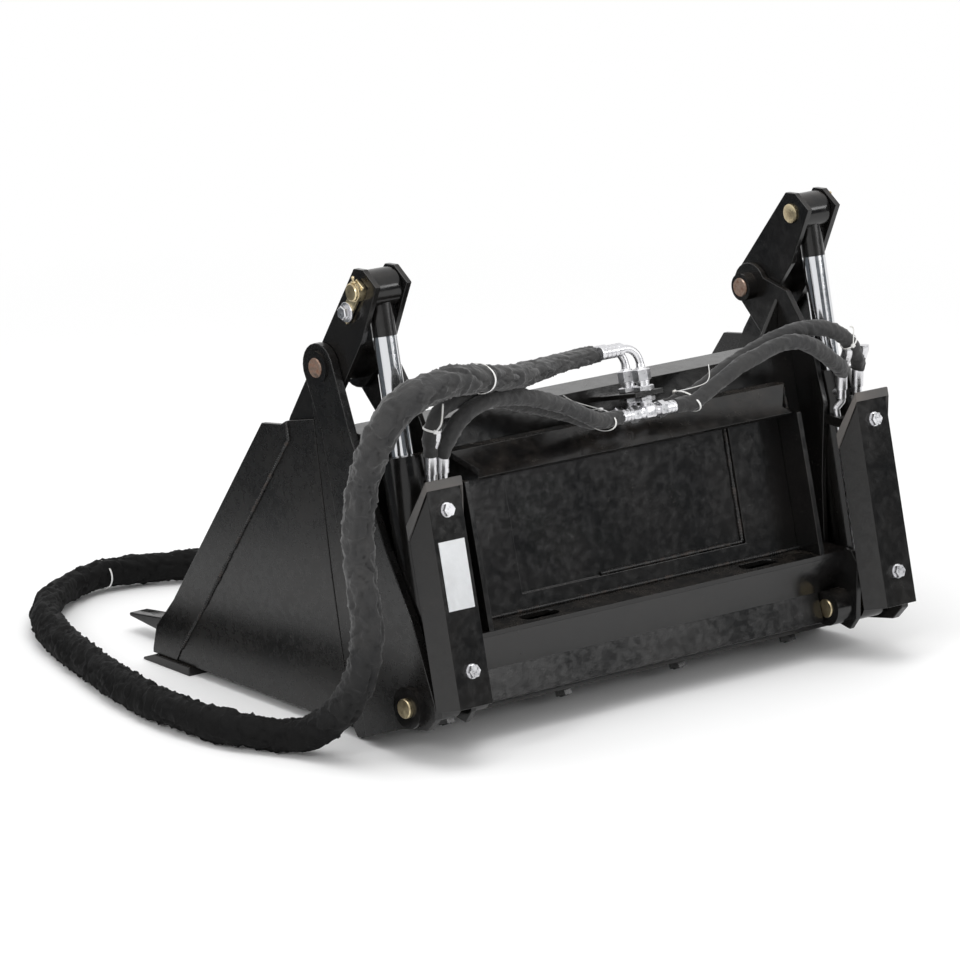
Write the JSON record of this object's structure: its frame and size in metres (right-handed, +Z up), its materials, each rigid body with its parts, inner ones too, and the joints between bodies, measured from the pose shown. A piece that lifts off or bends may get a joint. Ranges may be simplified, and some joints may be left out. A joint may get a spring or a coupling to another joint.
{
  "type": "grapple bucket",
  "caption": "Black clam-type loader bucket with a hinged front shell worked by two covered hydraulic cylinders, a quick-attach back and a sleeved hose pair.",
  "frame": {"origin": "on the ground, at the middle of the object's box without the main hose", "axes": "+X to the operator's right, +Y forward towards the mouth and teeth, +Z up"},
  "size_m": [1.2539, 1.231, 0.7703],
  "materials": {
    "black_paint": "gloss black paint",
    "zinc": "bright zinc plate",
    "yellow_zinc": "yellow zinc plate",
    "pin_steel": "bare steel with light rust",
    "chrome_rod": "hard chrome",
    "machined_steel": "machined",
    "sleeve_fabric": "woven nylon sleeve",
    "hose_rubber": "smooth rubber",
    "nylon": "white nylon",
    "aluminium_sheet": "brushed sheet"
  },
  "bodies": {
    "frame": {"moldboard": "black_paint", "pocket_plates": "black_paint", "qa_plate": "black_paint", "qa_sides": "black_paint", "qa_lip": "black_paint", "qa_ledge": "black_paint", "lower_beam": "black_paint", "rear_blade": "black_paint", "blade_bolts": "black_paint", "rear_side_left": "black_paint", "rear_side_right": "black_paint", "ear_plate_left": "black_paint", "ear_plate_right": "black_paint", "inner_ear_left": "black_paint", "inner_ear_right": "black_paint", "inner_lug_left": "black_paint", "inner_lug_right": "black_paint", "pin_bosses": "black_paint", "ear_gussets": "black_paint", "cylinder_cover_left": "black_paint", "cylinder_cover_right": "black_paint", "cover_straps": "black_paint", "cover_tabs": "black_paint", "cover_bolts": "zinc", "blank_plate": "aluminium_sheet", "pivot_pins": "pin_steel", "cylinder_pins": "yellow_zinc", "manifold_bracket": "black_paint", "manifold_fittings": "zinc", "hose_elbows": "zinc", "jumper_hoses": "hose_rubber", "cable_ties": "nylon", "main_hose": "sleeve_fabric", "hose_couplers": "zinc"},
    "shell": {"shell_floor": "black_paint", "shell_side_left": "black_paint", "shell_side_right": "black_paint", "side_cutter_left": "black_paint", "side_cutter_right": "black_paint", "cutting_edge": "black_paint", "teeth": "black_paint", "arm_outer_left": "black_paint", "arm_outer_right": "black_paint", "arm_inner_left": "black_paint", "arm_inner_right": "black_paint", "arm_tubes": "black_paint", "upper_pins": "yellow_zinc", "keeper_bolts": "zinc"},
    "barrel_left": {"barrel_left": "black_paint", "gland_left": "black_paint", "oil_lines_left": "zinc"},
    "rod_left": {"rod_left": "chrome_rod", "rod_eye_left": "black_paint", "piston_left": "machined_steel"},
    "barrel_right": {"barrel_right": "black_paint", "gland_right": "black_paint", "oil_lines_right": "zinc"},
    "rod_right": {"rod_right": "chrome_rod", "rod_eye_right": "black_paint", "piston_right": "machined_steel"}
  },
  "joints": [
    {"name": "shell_hinge", "type": "hinge", "parent": "frame", "child": "shell", "pos_m": [0, -0.147, 0.597], "axis": [1, 0, 0], "range_deg": [0, 45]},
    {"name": "barrel_swing_left", "type": "hinge", "parent": "frame", "child": "barrel_left", "pos_m": [-0.456, -0.38876, 0.09194], "axis": [1, 0, 0], "range_deg": [0, 5]},
    {"name": "rod_slide_left", "type": "slide", "parent": "barrel_left", "child": "rod_left", "axis": [0, 0.2298, 0.9732], "range_m": [-0.108, 0]},
    {"name": "barrel_swing_right", "type": "hinge", "parent": "frame", "child": "barrel_right", "pos_m": [0.456, -0.38876, 0.09194], "axis": [1, 0, 0], "range_deg": [0, 5]},
    {"name": "rod_slide_right", "type": "slide", "parent": "barrel_right", "child": "rod_right", "axis": [0, 0.2298, 0.9732], "range_m": [-0.108, 0]}
  ],
  "couplings": [
    {"joint": "barrel_swing_left", "follows": "shell_hinge", "ratio": 0.11},
    {"joint": "rod_slide_left", "follows": "shell_hinge", "m_per_rad": -0.137},
    {"joint": "barrel_swing_right", "follows": "shell_hinge", "ratio": 0.11},
    {"joint": "rod_slide_right", "follows": "shell_hinge", "m_per_rad": -0.137}
  ]
}
